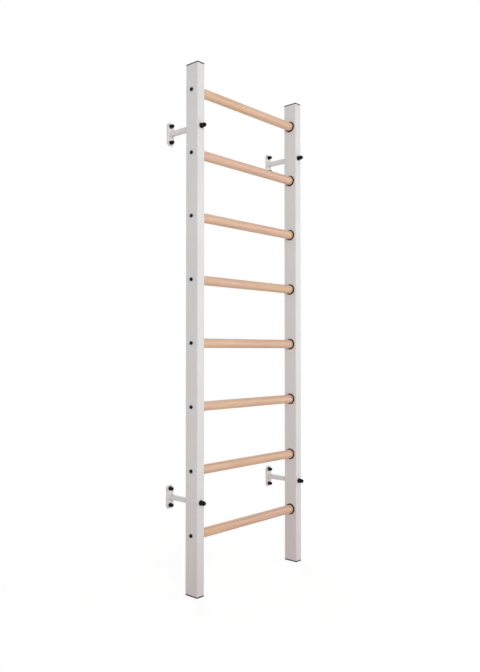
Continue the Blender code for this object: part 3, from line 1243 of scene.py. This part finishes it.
@dataclass
class WallBars:
    """The whole set of wall bars."""

    workshop: Workshop
    washer_room: float = 1.2 * MM

    def build_uprights(self) -> None:
        """Build both uprights with their plugs."""
        for side in Side:
            UprightTube(self.workshop, f"upright_{side.word}").build()
            for level in Level:
                EndPlug(self.workshop, f"end_cap_{level.word}_{side.word}").build()

    def build_rungs(self) -> None:
        """Build each rung with its grommets and its screws."""
        screw = RungScrew(self.workshop, "rung_screw_left_1").model()
        for number in rung_numbers():
            Rung(self.workshop, f"rung_{number}", number).build()
            for side in Side:
                label = f"{side.word}_{number}"
                Grommet(self.workshop, f"grommet_{label}").build()
                RungScrew(self.workshop, f"rung_screw_{label}").build(screw)

    def build_brackets(self) -> None:
        """Build each wall bracket with its bolt and its caps."""
        sample = WallBracket(self.workshop, "wall_bracket_top_left")
        plate_cap = NutCap(sample.cap_radius, sample.cap_height,
                           sample.screw_head_flats, sample.screw_head_height).model()
        bolt = BracketBolt(self.workshop, "bracket_bolt_top_left")
        size = node_size("bolt_cap_top_left")
        front_cap = NutCap(size.x / 2, size.y, bolt.head_flats + self.washer_room,
                           bolt.head_height + 2 * SEAT_GAP).model()
        bolt_shape = bolt.model()
        for level in Level:
            for side in Side:
                label = f"{level.word}_{side.word}"
                WallBracket(self.workshop, f"wall_bracket_{label}").build(plate_cap)
                cap = SubAssembly(self.workshop, f"bolt_cap_{label}")
                place = at(cap.axis.x, cap.high.y, cap.axis.z) @ quarters(1, "X")
                BracketBolt(self.workshop, f"bracket_bolt_{label}").fit(
                    bolt_shape, Slot.ZINC_STEEL, place)
                cap.fit(front_cap, Slot.PLASTIC, place)

    def build(self) -> None:
        """Build every sub-assembly in order."""
        self.build_uprights()
        self.build_rungs()
        self.build_brackets()


@dataclass(frozen=True)
class Lamp:
    """A square soft box."""

    name: str
    position: Point3
    target: Point3
    size: float
    power: float

    def build(self) -> None:
        """Hang the lamp and aim it."""
        data = bpy.data.lights.new(self.name, "AREA")
        data.shape = "SQUARE"
        data.size = self.size
        data.energy = self.power
        lamp = new_object(self.name, data)
        lamp.location = self.position
        aim = Vector(self.target) - Vector(self.position)
        lamp.rotation_euler = aim.to_track_quat("-Z", "Y").to_euler()


@dataclass(frozen=True)
class ViewPoint:
    """The photograph's camera, on the wall bars' own scale."""

    position: Point3 = (-2.3588, -2.2271, 1.0069)
    turn_to_right: float = math.radians(48.0785)
    tilt_up: float = math.radians(1.1753)
    focal_pixels: float = 699.8
    frame_height_pixels: float = 672.0
    sensor_height: float = 24.0

    def build(self) -> None:
        """Set up the camera and make it the scene's own."""
        data = bpy.data.cameras.new("photograph_view")
        data.sensor_fit = "VERTICAL"
        data.sensor_height = self.sensor_height
        data.lens = self.sensor_height * self.focal_pixels / self.frame_height_pixels
        camera = new_object("photograph_view", data)
        camera.location = self.position
        camera.rotation_euler = (QUARTER_TURN + self.tilt_up, 0.0, -self.turn_to_right)
        bpy.context.scene.camera = camera


@dataclass(frozen=True)
class FloorPaint(Finish):
    """A floor that shows as white with part of the shadow, and gives back a warm bounce."""

    shaded_colour: Colour = (0.36, 0.36, 0.36)
    shaded_glow: float = 0.768
    shaded_within: Point2 = (1.2, 3.6)
    near_bounce: Colour = (0.60, 0.375, 0.365)
    far_bounce: Colour = (0.92, 0.92, 0.915)
    bounce_fade: Point2 = (0.3, 1.6)
    roughness: float = 0.9

    def wire(self, wiring: Wiring) -> Sources:
        """Wire the surface.

        Args:
            wiring: the material's wiring.

        Returns:
            What feeds the shader.
        """
        away = wiring.length(wiring.place())
        shown = wiring.blend(wiring.ramp(away, self.shaded_within), self.shaded_colour, BLACK)
        bounce = wiring.blend(
            wiring.ramp(away, self.bounce_fade), self.near_bounce, self.far_bounce)
        seen = wiring.seen_rays()
        glow = wiring.ramp(away, self.shaded_within, self.shaded_glow, 1.0)
        return {"Base_Color": wiring.blend(seen, bounce, shown),
                "Roughness": self.roughness,
                "Specular_IOR_Level": 0.0,
                "Emission_Color": WHITE,
                "Emission_Strength": wiring.maths("MULTIPLY", seen, glow)}


@dataclass(frozen=True)
class Studio:
    """Pale floor, white surround, soft lamps and the camera."""

    floor_size: float = 40.0
    floor_drop: float = 0.5 * MM
    ceiling_span: Point2 = (0.1, 0.8)
    surround_light: float = 0.66
    ceiling_light: float = 0.34
    lamps: tuple[Lamp, ...] = (
        Lamp("key", (-3.7, -5.1, 2.5), (0.0, -0.15, 1.2), 3.0, 126.0),
        Lamp("right_fill", (2.4, -2.8, 1.6), (0.3, -0.15, 1.1), 2.0, 23.0),
        Lamp("back_fill", (2.6, 4.0, 3.0), (0.0, -0.15, 1.2), 2.4, 60.0),
    )

    def build_floor(self) -> None:
        """Lay the floor just under the wall bars."""
        floor = Shape()
        bmesh.ops.create_grid(
            floor.bm, x_segments=1, y_segments=1, size=self.floor_size / 2,
            matrix=at(0.0, 0.0, -self.floor_drop))
        thing = floor.as_object("studio_floor")
        thing.data.materials.append(FloorPaint().build("studio_floor"))

    def build_surround(self) -> None:
        """Make a world that shows white and lights softly, less from above than from around."""
        world = bpy.data.worlds.new("studio_surround")
        world.use_nodes = True
        bpy.context.scene.world = world
        wiring = Wiring(world.node_tree)
        towards = wiring.fill(wiring.add("SeparateXYZ"), Vector=wiring.place("Generated"))
        strength = wiring.ramp(towards["Z"], self.ceiling_span,
                               self.surround_light, self.ceiling_light)
        nodes = world.node_tree.nodes
        light = wiring.fill(nodes["Background"], Color=WHITE, Strength=strength)
        white = wiring.fill(wiring.add("Background"), Color=WHITE, Strength=1.0)
        mix = wiring.add("MixShader")
        sources = (wiring.seen_rays(), *light.values(), *white.values())
        for socket, source in zip(mix.inputs, sources):
            wiring.feed(socket, source)
        wiring.feed(nodes["World Output"].inputs["Surface"], mix.outputs["Shader"])

    def build(self) -> None:
        """Set up the whole studio."""
        self.build_floor()
        self.build_surround()
        for lamp in self.lamps:
            lamp.build()
        ViewPoint().build()
        bpy.context.scene.view_settings.view_transform = "Standard"


def main() -> None:
    """Dress the wall bars and set up the studio."""
    logging.basicConfig(level=logging.INFO, format="%(name)s: %(message)s")
    WallBars(Workshop()).build()
    Studio().build()


if __name__ == "__main__":
    main()
